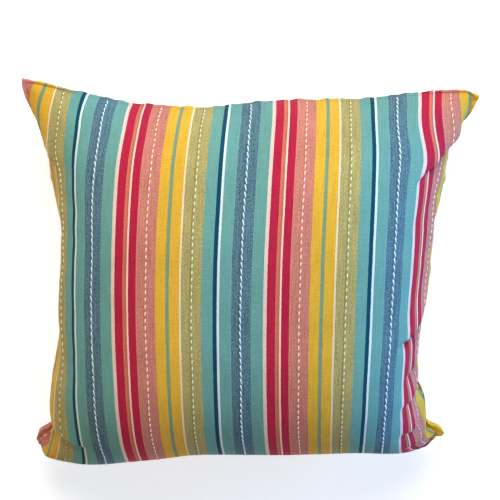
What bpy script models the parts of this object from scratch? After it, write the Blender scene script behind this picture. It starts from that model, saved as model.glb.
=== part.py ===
"""Filled square cushion in a striped cover, lying on its back, as one closed solid.

Metres, +Z up, face up. +Y runs to the edge of the cover that closes with a hem,
and the stripes run along Y. The origin is on the surface the cushion lies on,
under the middle of its outline.

The cover is two square panels sewn edge to edge. A point of a panel is named by
its place on the flat cloth: across from -1 at the left seam to +1 at the right
seam, and along from -1 at the bottom seam to +1 at the top seam. The face is
walked over the filling like this: the line up its middle falls from the crown to
the top and bottom seams, and from that line each row of cloth falls to the two
side seams. On every such walk the slope grows as a power of the way gone, so a
full row rolls over its edge and tucks in to the seam, and the rows flatten
towards the corners, which stay as thin ears.
"""

import bpy
import numpy as np

# The cover and its filling
COVER_SIDE = 0.450
CROWN_HEIGHT = 0.165
HALF = COVER_SIDE / 2

# Slope at the seam in degrees, and the power by which it grows on the way there
CROWN_ALONG = -0.06
TOP_SLOPE, TOP_POWER = 72.0, 2.0
BOTTOM_SLOPE, BOTTOM_POWER = 118.0, 1.7
LEFT_SLOPE = 110.0
RIGHT_SLOPE = 106.0

# Rows of the cloth from the bottom seam to the top seam: how far the row leans
# aside, the share of its width that stays after gathering, the height of the side
# seams, and the power of the roll, each at the left and the right
ROW_COLUMNS = ("along", "lean", "keep_left", "keep_right",
               "seam_left", "seam_right", "power_left", "power_right")
ROWS = (
    (-1.00, -0.007, 0.930, 0.885, 0.050, 0.050, 3.2, 3.0),
    (-0.85, -0.008, 0.885, 0.825, 0.053, 0.051, 3.2, 3.0),
    (-0.70, -0.008, 0.890, 0.820, 0.058, 0.055, 3.1, 3.0),
    (-0.55, -0.009, 0.945, 0.880, 0.067, 0.062, 3.2, 3.0),
    (-0.40, -0.009, 0.985, 0.940, 0.075, 0.070, 3.3, 3.0),
    (-0.25, -0.009, 1.005, 0.980, 0.077, 0.074, 3.2, 2.9),
    (0.00, -0.009, 1.030, 1.005, 0.073, 0.075, 2.8, 2.6),
    (0.30, -0.008, 1.015, 1.020, 0.070, 0.072, 2.6, 2.6),
    (0.60, -0.006, 0.995, 1.000, 0.068, 0.069, 2.6, 2.6),
    (0.85, -0.003, 0.955, 0.945, 0.071, 0.072, 2.6, 2.6),
    (1.00, -0.001, 0.975, 0.955, 0.075, 0.075, 2.6, 2.6),
)

# Across the cover: how far the top seam rises and the bottom roll hangs
EDGE_COLUMNS = ("across", "top_rise", "bottom_drop")
EDGES = (
    (-1.00, 0.022, 0.034),
    (-0.75, 0.014, 0.026),
    (-0.50, 0.004, 0.012),
    (-0.20, 0.000, 0.001),
    (0.10, 0.004, 0.000),
    (0.50, 0.008, 0.001),
    (0.75, 0.013, 0.013),
    (1.00, 0.018, 0.022),
)
TOP_RISE_POWER = 3
BOTTOM_DROP_POWER = 2

# Where the side seams start and end in Y, how late a row bends towards them, from
# the bottom up to BLEND_REACH of the height, and how late its width is gathered
SIDE_SEAM_TOP = 0.206
SIDE_SEAM_BOTTOM = -0.096
BLEND_BOTTOM = 9.0
BLEND_TOP = 2.5
BLEND_REACH = 0.65
GATHER_POWER = 1.6

# Folds of the face: a soft ridge, or a trough where the height is negative, from
# one place on the cloth to another, with its half width and height in metres
FOLD_COLUMNS = ("name", "across_0", "along_0", "across_1", "along_1", "width", "height")
FOLDS = (
    ("right pucker 1", 0.66, -0.17, 0.90, -0.12, 0.009, -0.0065),
    ("right swell 1", 0.70, -0.26, 0.93, -0.25, 0.010, 0.0030),
    ("right pucker 2", 0.72, -0.34, 0.93, -0.38, 0.008, -0.0045),
    ("right pucker 3", 0.70, -0.45, 0.94, -0.51, 0.009, -0.0060),
    ("right swell 2", 0.72, -0.54, 0.94, -0.58, 0.008, 0.0030),
    ("right pucker 4", 0.74, -0.62, 0.95, -0.65, 0.009, -0.0060),
    ("upper right fold", 0.91, 0.69, 0.72, 0.46, 0.009, -0.0080),
    ("upper right lap", 0.84, 0.76, 0.68, 0.56, 0.013, 0.0035),
    ("right ear crease", 0.87, 0.99, 0.97, 0.88, 0.008, -0.0035),
    ("left ear crease", -0.94, 0.67, -0.82, 0.52, 0.009, -0.0045),
    ("left ear pleat", -0.93, 1.00, -0.84, 0.97, 0.007, -0.0030),
    ("left tuck", -0.98, -0.80, -0.74, -0.60, 0.009, -0.0070),
    ("left tuck lap", -0.94, -0.66, -0.70, -0.50, 0.012, 0.0040),
)
FOLD_END_TAPER = 0.25  # the share of a fold's length over which each end fades

# The back: how full it is against the face, and how softly it flattens
BACK_FULLNESS = 0.90
REST_SOFTNESS = 0.004

# Steps of the mesh across and along a panel
STEPS_ACROSS = 42
STEPS_ALONG = 54
EDGE_CROWDING = 0.35
WALK_POINTS = 20
SCALE_SEARCH_STEPS = 22
STEEPEST_SCALE = 1.5

COVER_COLOUR = (0.21, 0.43, 0.46, 1.0)
COVER_ROUGHNESS = 0.9


def read_table(table, names, column, at):
    """Smooth curve through one named column of a table, read at the places given."""
    places = np.array([row[0] for row in table])
    values = np.array([row[names.index(column)] for row in table])
    slopes = np.gradient(values, places)
    first = np.clip(np.searchsorted(places, at, side="right") - 1, 0, len(places) - 2)
    gap = places[first + 1] - places[first]
    t = (at - places[first]) / gap
    start = values[first] * (2 * t**3 - 3 * t**2 + 1) + slopes[first] * gap * (t**3 - 2 * t**2 + t)
    end = values[first + 1] * (3 * t**2 - 2 * t**3) + slopes[first + 1] * gap * (t**3 - t**2)
    return start + end


def walk(way, slope_degrees, power, scale):
    """Run and fall of a walk whose slope is scale * slope_degrees * way ** power."""
    nodes, weights = np.polynomial.legendre.leggauss(WALK_POINTS)
    nodes = (nodes + 1) / 2
    weights = weights / 2
    steps = np.asarray(way)[..., None] * nodes
    slope = np.radians(slope_degrees)[..., None] * steps ** power[..., None] * scale[..., None]
    run = way * (np.cos(slope) * weights).sum(-1)
    fall = way * (np.sin(slope) * weights).sum(-1)
    return run, fall


def middle_line(along):
    """Y and height of the line up the middle of the face."""
    up = along >= CROWN_ALONG
    reach = np.where(up, 1 - CROWN_ALONG, 1 + CROWN_ALONG)
    way = np.abs(along - CROWN_ALONG) / reach
    slope = np.where(up, TOP_SLOPE, BOTTOM_SLOPE)
    power = np.where(up, TOP_POWER, BOTTOM_POWER)
    run, fall = walk(way, slope, power, np.ones_like(along))
    y = np.where(up, run, -run) * reach * HALF
    return y, CROWN_HEIGHT - fall * reach * HALF


def scale_to_fall(height, slope_degrees, power):
    """Scale of the slope at which a whole row, walked to its seam, falls by height."""
    low = np.zeros_like(height)
    high = np.full_like(height, STEEPEST_SCALE)
    whole = np.ones_like(height)
    for _ in range(SCALE_SEARCH_STEPS):
        middle = (low + high) / 2
        fall = walk(whole, slope_degrees, power, middle)[1] * HALF
        low = np.where(fall < height, middle, low)
        high = np.where(fall < height, high, middle)
    return (low + high) / 2


def face_points(across, along):
    """Places of the face panel's points before its folds, one array per axis."""
    left = across < 0
    slope = np.where(left, LEFT_SLOPE, RIGHT_SLOPE)

    def side(name):
        return np.where(left, read_table(ROWS, ROW_COLUMNS, name + "_left", along),
                        read_table(ROWS, ROW_COLUMNS, name + "_right", along))

    middle_y, middle_z = middle_line(along)
    power = side("power")
    scale = scale_to_fall(middle_z - side("seam"), slope, power)
    way = np.abs(across)
    run, fall = walk(way, slope, power, scale)
    gathered = 1 + (side("keep") - 1) * way**GATHER_POWER
    lean = read_table(ROWS, ROW_COLUMNS, "lean", along)
    x = lean + HALF * np.sign(across) * run * gathered
    z = middle_z - HALF * fall

    upness = (along + 1) / 2
    seam_y = SIDE_SEAM_BOTTOM + (SIDE_SEAM_TOP - SIDE_SEAM_BOTTOM) * upness
    blend = BLEND_BOTTOM + (BLEND_TOP - BLEND_BOTTOM) * np.clip(upness / BLEND_REACH, 0, 1)
    y = seam_y + (middle_y - seam_y) * (1 - way**blend)
    rise = read_table(EDGES, EDGE_COLUMNS, "top_rise", across) * upness**TOP_RISE_POWER
    drop = read_table(EDGES, EDGE_COLUMNS, "bottom_drop", across) * (1 - upness) ** BOTTOM_DROP_POWER
    y = y + rise - drop
    return np.stack([x, y, z], axis=-1)


def smooth_step(t):
    """Rise from 0 to 1 as t goes from 0 to 1, level at both ends."""
    t = np.clip(t, 0, 1)
    return t**2 * (3 - 2 * t)


def fold_heights(across, along):
    """Height of all folds together at each point of the cloth."""
    total = np.zeros_like(across)
    for _, across_0, along_0, across_1, along_1, width, height in FOLDS:
        run_x = (across_1 - across_0) * HALF
        run_y = (along_1 - along_0) * HALF
        length = np.hypot(run_x, run_y)
        from_x = (across - across_0) * HALF
        from_y = (along - along_0) * HALF
        forward = (from_x * run_x + from_y * run_y) / length**2
        aside = (from_x * run_y - from_y * run_x) / length
        inside = np.minimum(forward, 1 - forward)
        taper = smooth_step((inside + FOLD_END_TAPER / 2) / FOLD_END_TAPER)
        total = total + height * taper * np.exp(-((aside / width) ** 2))
    return total


def surface_normals(points):
    """Unit normals of a panel's grid of points, pointing off the face."""
    step_across = np.gradient(points, axis=0)
    step_along = np.gradient(points, axis=1)
    normals = np.cross(step_across, step_along)
    return normals / np.linalg.norm(normals, axis=-1, keepdims=True)


def seam_surface(z):
    """Height of the smooth surface spanned between the four seams of a grid."""
    s = np.linspace(0, 1, z.shape[0])[:, None]
    t = np.linspace(0, 1, z.shape[1])[None, :]
    sides = z[:1, :] * (1 - s) + z[-1:, :] * s
    ends = z[:, :1] * (1 - t) + z[:, -1:] * t
    corners = ((z[0, 0] * (1 - t) + z[0, -1] * t) * (1 - s)
               + (z[-1, 0] * (1 - t) + z[-1, -1] * t) * s)
    return sides + ends - corners


def rest_on_surface(z):
    """Heights with everything below the surface flattened softly onto it."""
    bend = (z + REST_SOFTNESS) ** 2 / (4 * REST_SOFTNESS)
    return np.where(z > REST_SOFTNESS, z, np.where(z < -REST_SOFTNESS, 0.0, bend))


def crowded(steps):
    """Places from -1 to 1 that stand closer together towards both ends."""
    even = np.linspace(-1, 1, steps + 1)
    return (1 - EDGE_CROWDING) * even + EDGE_CROWDING * np.sin(even * np.pi / 2)


def panels():
    """Grids of points of the face panel and the back panel, which share their rim."""
    across, along = np.meshgrid(crowded(STEPS_ACROSS), crowded(STEPS_ALONG), indexing="ij")
    plain = face_points(across, along)
    span = seam_surface(plain[..., 2])
    back = plain.copy()
    back[..., 2] = rest_on_surface(span - BACK_FULLNESS * (plain[..., 2] - span))
    rim = (np.abs(across) == 1) | (np.abs(along) == 1)
    face = plain + surface_normals(plain) * fold_heights(across, along)[..., None]
    face[rim] = plain[rim]
    back[rim] = plain[rim]
    low = np.minimum(face.min(axis=(0, 1)), back.min(axis=(0, 1)))
    high = np.maximum(face.max(axis=(0, 1)), back.max(axis=(0, 1)))
    middle = (low + high) / 2
    shift = np.array([middle[0], middle[1], 0.0])
    return face - shift, back - shift, rim


def cushion_mesh():
    """Closed mesh of the two panels, joined along the seam."""
    face, back, rim = panels()
    face_index = np.arange(rim.size).reshape(rim.shape)
    back_index = np.full(rim.shape, -1)
    back_index[~rim] = rim.size + np.arange((~rim).sum())
    back_index[rim] = face_index[rim]
    points = np.concatenate([face.reshape(-1, 3), back[~rim]])

    def quads(index):
        return np.stack([index[:-1, :-1], index[1:, :-1], index[1:, 1:], index[:-1, 1:]], axis=-1)

    faces = np.concatenate([quads(face_index).reshape(-1, 4),
                            quads(back_index)[..., ::-1].reshape(-1, 4)])
    mesh = bpy.data.meshes.new("cushion")
    mesh.from_pydata(points.tolist(), [], faces.tolist())
    mesh.update()
    mesh.shade_smooth()
    return mesh


def cover_material():
    """Woven cotton in the cover's main colour."""
    material = bpy.data.materials.new("striped cotton")
    material.use_nodes = True
    shader = material.node_tree.nodes["Principled BSDF"]
    shader.inputs["Base Color"].default_value = COVER_COLOUR
    shader.inputs["Roughness"].default_value = COVER_ROUGHNESS
    shader.inputs["Metallic"].default_value = 0.0
    return material


def main():
    for old in list(bpy.data.objects):
        bpy.data.objects.remove(old, do_unlink=True)
    cushion = bpy.data.objects.new("cushion", cushion_mesh())
    cushion.data.materials.append(cover_material())
    bpy.context.scene.collection.objects.link(cushion)


main()
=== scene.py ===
"""Looks of a filled square cushion in a striped, hand-stitched cotton cover.

Metres, +Z up, the cushion on its back. +Y runs to the hemmed edge and the stripes
run along Y. Every place on the cover is named by its place on the flat cloth:
across from -1 at the left seam to +1 at the right, and along from -1 at the
bottom seam to +1 at the top one.
"""

from __future__ import annotations

import logging
from dataclasses import dataclass, field
from enum import Enum
from typing import NamedTuple

import bpy
import numpy as np
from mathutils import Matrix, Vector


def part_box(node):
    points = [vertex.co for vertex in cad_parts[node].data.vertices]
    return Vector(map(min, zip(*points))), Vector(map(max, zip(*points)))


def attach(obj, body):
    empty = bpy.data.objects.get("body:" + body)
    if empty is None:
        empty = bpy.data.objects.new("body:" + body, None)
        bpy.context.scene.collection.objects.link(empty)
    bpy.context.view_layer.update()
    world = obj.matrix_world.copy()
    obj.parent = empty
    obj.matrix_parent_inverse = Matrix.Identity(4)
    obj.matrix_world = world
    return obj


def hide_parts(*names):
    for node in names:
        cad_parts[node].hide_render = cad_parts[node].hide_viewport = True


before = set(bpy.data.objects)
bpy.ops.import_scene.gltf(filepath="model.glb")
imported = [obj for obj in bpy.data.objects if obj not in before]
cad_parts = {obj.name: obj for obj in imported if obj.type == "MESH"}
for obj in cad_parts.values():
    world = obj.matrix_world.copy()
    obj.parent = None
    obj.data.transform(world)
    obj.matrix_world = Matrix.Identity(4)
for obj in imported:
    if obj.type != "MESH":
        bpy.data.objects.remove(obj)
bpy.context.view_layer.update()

LOG = logging.getLogger("cushion")

Grid = np.ndarray

MM = 1000  # millimetres in a metre


class Panel(Enum):
    """The two panels that are sewn into the cover."""

    FACE = "face"
    BACK = "back"


class ClothRow(NamedTuple):
    """One row of cloth from side seam to side seam, and how it lies over the filling.

    lean is where its middle lies in x. On each side, keep is the share of its width
    that it keeps at the seam, seam the seam's height, and power how suddenly it
    rolls over. Lengths are in metres.
    """

    along: float
    lean: float
    keep_left: float
    keep_right: float
    seam_left: float
    seam_right: float
    power_left: float
    power_right: float


class EdgePlace(NamedTuple):
    """A place across the cover: how far the top seam rises and the bottom roll hangs."""

    across: float
    top_rise: float
    bottom_drop: float


class Lap(NamedTuple):
    """A lip of cloth that slides over the cloth beyond it. Lengths are in millimetres.

    The cloth on the left of the line, seen from its first place to its second,
    slides by shift over what lies on its right. reach and lip are the half widths
    of that slide on the left and on the right. The lip rises by rise, and the cloth
    beyond it sinks by sink. start and end are the shares of the line over which
    the lap opens and closes. bow bends the line to the right.
    """

    name: str
    across_0: float
    along_0: float
    across_1: float
    along_1: float
    bow: float
    shift: float
    reach: float
    lip: float
    rise: float
    sink: float
    start: float = 0.5
    end: float = 0.5


def smooth_step(t: Grid) -> Grid:
    """Rise from 0 to 1 as t goes from 0 to 1, level at both ends: 3t^2 - 2t^3."""
    t = np.clip(t, 0, 1)
    return t**2 * (3 - 2 * t)


def read_table(rows: tuple, column: str, at: Grid) -> Grid:
    """Smooth curve through one column of a table: cubic pieces with shared slopes.

    Args:
        rows: The table's rows, whose first column is the place.
        column: Name of the column to read.
        at: Places to read it at.

    Returns:
        The column's value at each place.
    """
    places = np.array([row[0] for row in rows])
    values = np.array([getattr(row, column) for row in rows])
    slopes = np.gradient(values, places)
    first = np.clip(np.searchsorted(places, at, side="right") - 1, 0, len(places) - 2)
    gap = places[first + 1] - places[first]
    t = (at - places[first]) / gap
    start = values[first] * (2 * t**3 - 3 * t**2 + 1) + slopes[first] * gap * (t**3 - 2 * t**2 + t)
    end = values[first + 1] * (3 * t**2 - 2 * t**3) + slopes[first + 1] * gap * (t**3 - t**2)
    return start + end


def unit(vectors: Grid) -> Grid:
    """The same directions with length one."""
    return vectors / np.maximum(np.linalg.norm(vectors, axis=-1, keepdims=True), 1e-12)


def grid_normals(points: Grid) -> Grid:
    """Unit normals of a grid of points: the cross product of its two step directions."""
    return unit(np.cross(np.gradient(points, axis=0), np.gradient(points, axis=1)))


@dataclass
class CoverForm:
    """Where each place of the flat cloth lies in space.

    The line up the middle of the face falls from the crown to both ends, and from
    it each row of cloth falls to the side seams. On every such walk the slope
    grows as a power of the way gone. The back is the face turned over about the
    surface spanned by the seams, pressed flat on what it rests on.
    """

    side: float = 0.450
    crown_height: float = 0.165
    crown_along: float = -0.06
    top_slope: float = 72.0
    top_power: float = 2.0
    bottom_slope: float = 118.0
    bottom_power: float = 1.7
    left_slope: float = 110.0
    right_slope: float = 106.0
    rows: tuple[ClothRow, ...] = (
        ClothRow(-1.00, -0.007, 0.930, 0.885, 0.050, 0.050, 3.2, 3.0),
        ClothRow(-0.85, -0.008, 0.885, 0.825, 0.053, 0.051, 3.2, 3.0),
        ClothRow(-0.70, -0.008, 0.890, 0.820, 0.058, 0.055, 3.1, 3.0),
        ClothRow(-0.55, -0.009, 0.945, 0.880, 0.067, 0.062, 3.2, 3.0),
        ClothRow(-0.40, -0.009, 0.985, 0.940, 0.075, 0.070, 3.3, 3.0),
        ClothRow(-0.25, -0.009, 1.005, 0.980, 0.077, 0.074, 3.2, 2.9),
        ClothRow(0.00, -0.009, 1.030, 1.010, 0.073, 0.075, 2.8, 2.6),
        ClothRow(0.30, -0.008, 1.020, 1.028, 0.070, 0.072, 2.6, 2.6),
        ClothRow(0.60, -0.006, 1.003, 1.008, 0.068, 0.069, 2.6, 2.6),
        ClothRow(0.85, -0.003, 0.955, 0.945, 0.071, 0.072, 2.6, 2.6),
        ClothRow(1.00, -0.001, 0.975, 0.955, 0.075, 0.075, 2.6, 2.6),
    )
    edges: tuple[EdgePlace, ...] = (
        EdgePlace(-1.00, 0.022, 0.034),
        EdgePlace(-0.75, 0.014, 0.026),
        EdgePlace(-0.50, 0.004, 0.012),
        EdgePlace(-0.20, 0.001, 0.001),
        EdgePlace(0.10, 0.007, 0.000),
        EdgePlace(0.50, 0.010, 0.001),
        EdgePlace(0.75, 0.015, 0.013),
        EdgePlace(1.00, 0.018, 0.022),
    )
    top_rise_power: float = 3.0
    bottom_drop_power: float = 2.0
    side_seam_top: float = 0.206
    side_seam_bottom: float = -0.096
    blend_bottom: float = 9.0
    blend_top: float = 2.5
    blend_reach: float = 0.65
    gather_power: float = 1.6
    back_fullness: float = 0.90
    rest_softness: float = 0.004
    walk_points: int = 20
    search_steps: int = 22
    steepest: float = 1.5

    @property
    def half(self) -> float:
        """Half the side of a flat panel."""
        return self.side / 2

    def walk(self, way: Grid, slope: Grid, power: Grid, scale: Grid) -> tuple[Grid, Grid]:
        """Run and fall of a walk whose slope is scale * slope * way ** power.

        Args:
            way: Share of the walk that is gone, from 0 to 1.
            slope: Slope at the walk's end, in degrees.
            power: Power by which the slope grows.
            scale: Factor on the slope.

        Returns:
            The level way and the height lost, for a walk of length one.
        """
        nodes, weights = np.polynomial.legendre.leggauss(self.walk_points)
        steps = way[..., None] * (nodes + 1) / 2
        angle = np.radians(slope)[..., None] * steps ** power[..., None] * scale[..., None]
        run = way * (np.cos(angle) * weights / 2).sum(-1)
        fall = way * (np.sin(angle) * weights / 2).sum(-1)
        return run, fall

    def middle_line(self, along: Grid) -> tuple[Grid, Grid]:
        """Y and height of the line up the middle of the face.

        Args:
            along: Places along the cloth.

        Returns:
            Y and height at each place.
        """
        up = along >= self.crown_along
        reach = np.where(up, 1 - self.crown_along, 1 + self.crown_along)
        slope = np.where(up, self.top_slope, self.bottom_slope)
        power = np.where(up, self.top_power, self.bottom_power)
        way = np.abs(along - self.crown_along) / reach
        run, fall = self.walk(way, slope, power, np.ones_like(along))
        y = np.where(up, run, -run) * reach * self.half
        return y, self.crown_height - fall * reach * self.half

    def scale_to_fall(self, height: Grid, slope: Grid, power: Grid) -> Grid:
        """Scale of the slope at which a whole row falls by a height, found by halving.

        Args:
            height: Height to lose from the middle line to the seam.
            slope: Slope at the seam, in degrees.
            power: Power by which the slope grows.

        Returns:
            The factor on the slope.
        """
        low = np.zeros_like(height)
        high = np.full_like(height, self.steepest)
        whole = np.ones_like(height)
        for _ in range(self.search_steps):
            middle = (low + high) / 2
            fall = self.walk(whole, slope, power, middle)[1] * self.half
            low = np.where(fall < height, middle, low)
            high = np.where(fall < height, high, middle)
        return (low + high) / 2

    def face_points(self, across: Grid, along: Grid) -> Grid:
        """Places of the face panel before its folds.

        x is the run of the row's walk, gathered in towards the seam, and z is the
        middle line's height less the walk's fall. y goes from the middle line's to
        the side seam's as way ** blend, then rises at the top and drops at the
        bottom by the table of edges.

        Args:
            across: Places across the cloth.
            along: Places along the cloth.

        Returns:
            Points, with the three axes last.
        """
        left = across < 0
        slope = np.where(left, self.left_slope, self.right_slope)

        def side(name: str) -> Grid:
            """The column of the side that each place is on."""
            return np.where(left, read_table(self.rows, name + "_left", along),
                            read_table(self.rows, name + "_right", along))

        middle_y, middle_z = self.middle_line(along)
        power = side("power")
        scale = self.scale_to_fall(middle_z - side("seam"), slope, power)
        way = np.abs(across)
        run, fall = self.walk(way, slope, power, scale)
        gathered = 1 + (side("keep") - 1) * way**self.gather_power
        lean = read_table(self.rows, "lean", along)
        x = lean + self.half * np.sign(across) * run * gathered
        z = middle_z - self.half * fall

        upness = (along + 1) / 2
        seam_y = self.side_seam_bottom + (self.side_seam_top - self.side_seam_bottom) * upness
        reach = np.clip(upness / self.blend_reach, 0, 1)
        blend = self.blend_bottom + (self.blend_top - self.blend_bottom) * reach
        y = seam_y + (middle_y - seam_y) * (1 - way**blend)
        rise = read_table(self.edges, "top_rise", across) * upness**self.top_rise_power
        drop = read_table(self.edges, "bottom_drop", across) * (1 - upness) ** self.bottom_drop_power
        return np.stack([x, y + rise - drop, z], axis=-1)

    def seam_surface(self, z: Grid) -> Grid:
        """Height of the smooth surface spanned between the four seams of a grid.

        Each pair of opposite seams is blended evenly, row by row or column by
        column of the grid. The two blends are added, less what they count twice.

        Args:
            z: Heights on a whole panel's grid, its rim included.

        Returns:
            Heights on the same grid, which are the seams' own along the rim.
        """
        s = np.linspace(0, 1, z.shape[0])[:, None]
        t = np.linspace(0, 1, z.shape[1])[None, :]
        sides = z[:1, :] * (1 - s) + z[-1:, :] * s
        ends = z[:, :1] * (1 - t) + z[:, -1:] * t
        first_row = z[0, 0] * (1 - t) + z[0, -1] * t
        last_row = z[-1, 0] * (1 - t) + z[-1, -1] * t
        return sides + ends - (first_row * (1 - s) + last_row * s)

    def rest_on_surface(self, z: Grid) -> Grid:
        """Flatten all that is below the surface softly onto it.

        Within rest_softness of the surface the height bends up as a parabola.

        Args:
            z: Heights of the filled form, below zero where it would sink in.

        Returns:
            Heights of zero and more.
        """
        soft = self.rest_softness
        bend = (z + soft) ** 2 / (4 * soft)
        return np.where(z > soft, z, np.where(z < -soft, 0.0, bend))

    def back_points(self, face: Grid) -> Grid:
        """Places of the back panel.

        Args:
            face: The face panel's points before folds, on the same grid.

        Returns:
            Points under the face, which meet it along the rim.
        """
        span = self.seam_surface(face[..., 2])
        back = face.copy()
        back[..., 2] = self.rest_on_surface(span - self.back_fullness * (face[..., 2] - span))
        return back


class Line(NamedTuple):
    """Where each place of the cloth lies from a line.

    forward is the share of the line gone, aside the metres to its right, and right
    the direction across the cloth that counts as right.
    """

    forward: Grid
    aside: Grid
    right: Grid


@dataclass
class Folds:
    """The folds of one panel, laid as laps over its smooth form."""

    laps: tuple[Lap, ...]
    half: float
    swell: float = 0.013

    def line(self, lap: Lap, across: Grid, along: Grid) -> Line:
        """Measure places of the cloth from a lap's line.

        At the share f of its length the line is bent aside by 4 bow f (1 - f).

        Args:
            lap: The lap.
            across: Places across the cloth.
            along: Places along the cloth.

        Returns:
            The share gone, the metres to the right, and which way right is.
        """
        run = np.array([lap.across_1 - lap.across_0, lap.along_1 - lap.along_0]) * self.half
        length = np.hypot(*run)
        from_x = (across - lap.across_0) * self.half
        from_y = (along - lap.along_0) * self.half
        forward = (from_x * run[0] + from_y * run[1]) / length**2
        aside = (from_x * run[1] - from_y * run[0]) / length
        share = np.clip(forward, 0, 1)
        bent = 4 * (lap.bow / MM) * share * (1 - share)
        return Line(forward, aside - bent, np.array([run[1], -run[0]]) / length)

    def overlaps(self, across: Grid, along: Grid) -> tuple[Grid, Grid, Grid]:
        """How the laps move each place of the cloth.

        The slide is shift times a bell that is as wide as reach on the left of the
        line and as narrow as lip on its right, so the cloth turns back under
        itself there. The lip rises, and the cloth beyond it sinks over a bell as
        wide as swell.

        Args:
            across: Places across the cloth.
            along: Places along the cloth.

        Returns:
            The slide across and along, in cloth places, and the height in metres.
        """
        slide_x = np.zeros_like(across)
        slide_y = np.zeros_like(across)
        height = np.zeros_like(across)
        for lap in self.laps:
            line = self.line(lap, across, along)
            opening = smooth_step(line.forward / lap.start)
            open_share = opening * smooth_step((1 - line.forward) / lap.end)
            aside = line.aside * MM
            lip = np.exp(-((aside / lap.lip) ** 2))
            bell = np.where(aside < 0, np.exp(-((aside / lap.reach) ** 2)), lip)
            slide = lap.shift / MM * bell * open_share
            slide_x += slide * line.right[0] / self.half
            slide_y += slide * line.right[1] / self.half
            swell = np.exp(-((line.aside / self.swell) ** 2))
            beyond = lap.rise * lip - lap.sink * (1 - lip) * swell
            height += np.where(aside < 0, lap.rise * swell, beyond) / MM * open_share
        return slide_x, slide_y, height


# Each row: name, across and along at both ends, bow, shift, reach, lip, rise, sink, start, end
FACE_LAPS = (
    Lap("upper right fold", 0.69, 0.49, 0.995, 0.82, -4.0, 11.0, 29.0, 3.5, 2.0, 3.0, 0.45, 0.30),
    Lap("upper left fold", -1.00, 0.96, -0.815, 0.53, 4.0, 11.0, 16.0, 3.0, 1.2, 2.0, 0.40, 0.35),
    Lap("right pucker 1", 0.66, -0.15, 0.92, -0.10, 0.0, 2.2, 14.0, 3.0, 1.5, 7.0, 0.35, 0.45),
    Lap("right pucker 2", 0.72, -0.285, 0.97, -0.33, 0.0, 0.8, 12.0, 5.0, 1.5, 4.5, 0.45, 0.45),
    Lap("right pucker 3", 0.66, -0.41, 0.97, -0.45, 0.0, 1.4, 13.0, 5.0, 1.5, 5.0, 0.60, 0.40),
    Lap("right pucker 4", 0.70, -0.55, 0.98, -0.67, 0.0, 1.6, 13.0, 5.0, 1.5, 5.0, 0.45, 0.40),
    Lap("right pucker 5", 0.76, -0.71, 0.98, -0.83, 0.0, 1.6, 12.0, 4.0, 1.0, 4.0, 0.45, 0.40),
    Lap("lower left tuck", -1.00, -0.70, -0.66, -0.60, -12.0, 5.5, 14.0, 2.5, 2.0, 5.0, 0.12, 0.30),
)


class Nudge(NamedTuple):
    """A soft push on the cloth about one place, in millimetres.

    x, y and z move the cloth in space. slip is how far the stripes slide to the
    left on it. Both fade as a bell whose half widths are given in cloth places.
    """

    name: str
    across: float
    along: float
    wide: float
    long: float
    x: float = 0.0
    y: float = 0.0
    z: float = 0.0
    slip: float = 0.0


@dataclass(frozen=True)
class Nudges:
    """All nudges of one panel."""

    nudges: tuple[Nudge, ...] = ()

    def bell(self, nudge: Nudge, across: Grid, along: Grid) -> Grid:
        """Share of a nudge felt, exp(-a^2 - b^2), where a and b are the half widths gone.

        Args:
            nudge: The nudge.
            across: Places across the cloth.
            along: Places along the cloth.

        Returns:
            A share from 0 to 1 at each place.
        """
        gone_across = (across - nudge.across) / nudge.wide
        gone_along = (along - nudge.along) / nudge.long
        return np.exp(-(gone_across**2 + gone_along**2))

    def move(self, across: Grid, along: Grid) -> Grid:
        """How far all nudges together move the cloth.

        Args:
            across: Places across the cloth.
            along: Places along the cloth.

        Returns:
            Vectors in metres.
        """
        total = np.zeros((*across.shape, 3))
        for nudge in self.nudges:
            push = np.array([nudge.x, nudge.y, nudge.z]) / MM
            total += self.bell(nudge, across, along)[..., None] * push
        return total

    def slip(self, across: Grid, along: Grid) -> Grid:
        """How far all nudges together slide the stripes.

        Args:
            across: Places across the cloth.
            along: Places along the cloth.

        Returns:
            Metres of stripes.
        """
        total = np.zeros_like(across)
        for nudge in self.nudges:
            if nudge.slip:
                total += self.bell(nudge, across, along) * nudge.slip / MM
        return total


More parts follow.
